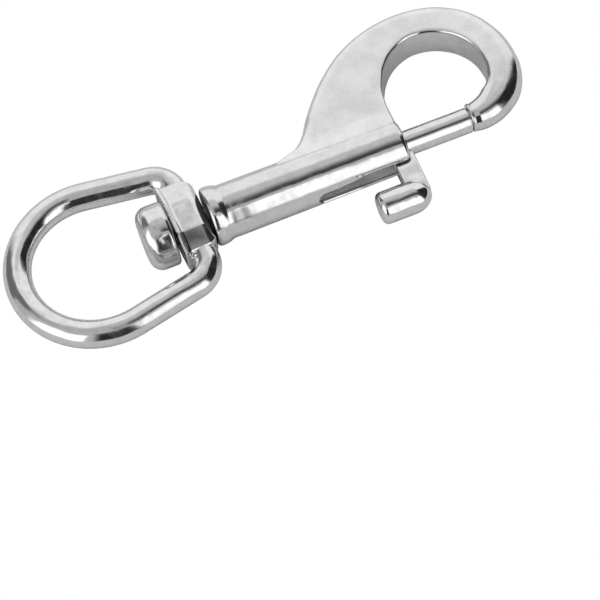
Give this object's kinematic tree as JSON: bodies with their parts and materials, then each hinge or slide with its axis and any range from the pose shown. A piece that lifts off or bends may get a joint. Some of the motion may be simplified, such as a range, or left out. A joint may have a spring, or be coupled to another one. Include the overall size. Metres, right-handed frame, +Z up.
{
  "type": "swivel eye bolt snap",
  "caption": "Cast steel snap hook closed by a spring bolt with a thumb lever, with a rounded wire eye that swivels on a headed post behind the barrel.",
  "frame": {"origin": "bottom centre of the bounding box of the closed snap lying flat, hook and eye in one horizontal plane", "axes": "+X along the barrel from the eye to the nose of the hook, +Y to the side that the hook opens into, opposite the thumb lever, +Z up through the flat side of the hook"},
  "size_m": [0.1194, 0.0496, 0.014],
  "materials": {
    "cast_steel": "tumbled cast stainless steel, satin cheeks and polished edges",
    "polished_steel": "polished stainless steel",
    "spring_steel": "drawn spring wire"
  },
  "bodies": {
    "snap_body": {"body": "cast_steel", "swivel_post": "polished_steel", "spring": "spring_steel"},
    "bolt_set": {"bolt": "polished_steel", "thumb_lever": "polished_steel"},
    "eye_set": {"eye": "polished_steel"}
  },
  "joints": [
    {"name": "bolt_slide", "type": "slide", "parent": "snap_body", "child": "bolt_set", "axis": [-1, 0, 0], "range_m": [0, 0.0165], "stiffness_N_per_m": 750, "springref_m": -0.004, "deforming": ["spring"]},
    {"name": "eye_swivel", "type": "hinge", "parent": "snap_body", "child": "eye_set", "pos_m": [-0.01921, -0.00505, 0.007], "axis": [1, 0, 0], "continuous": true}
  ]
}
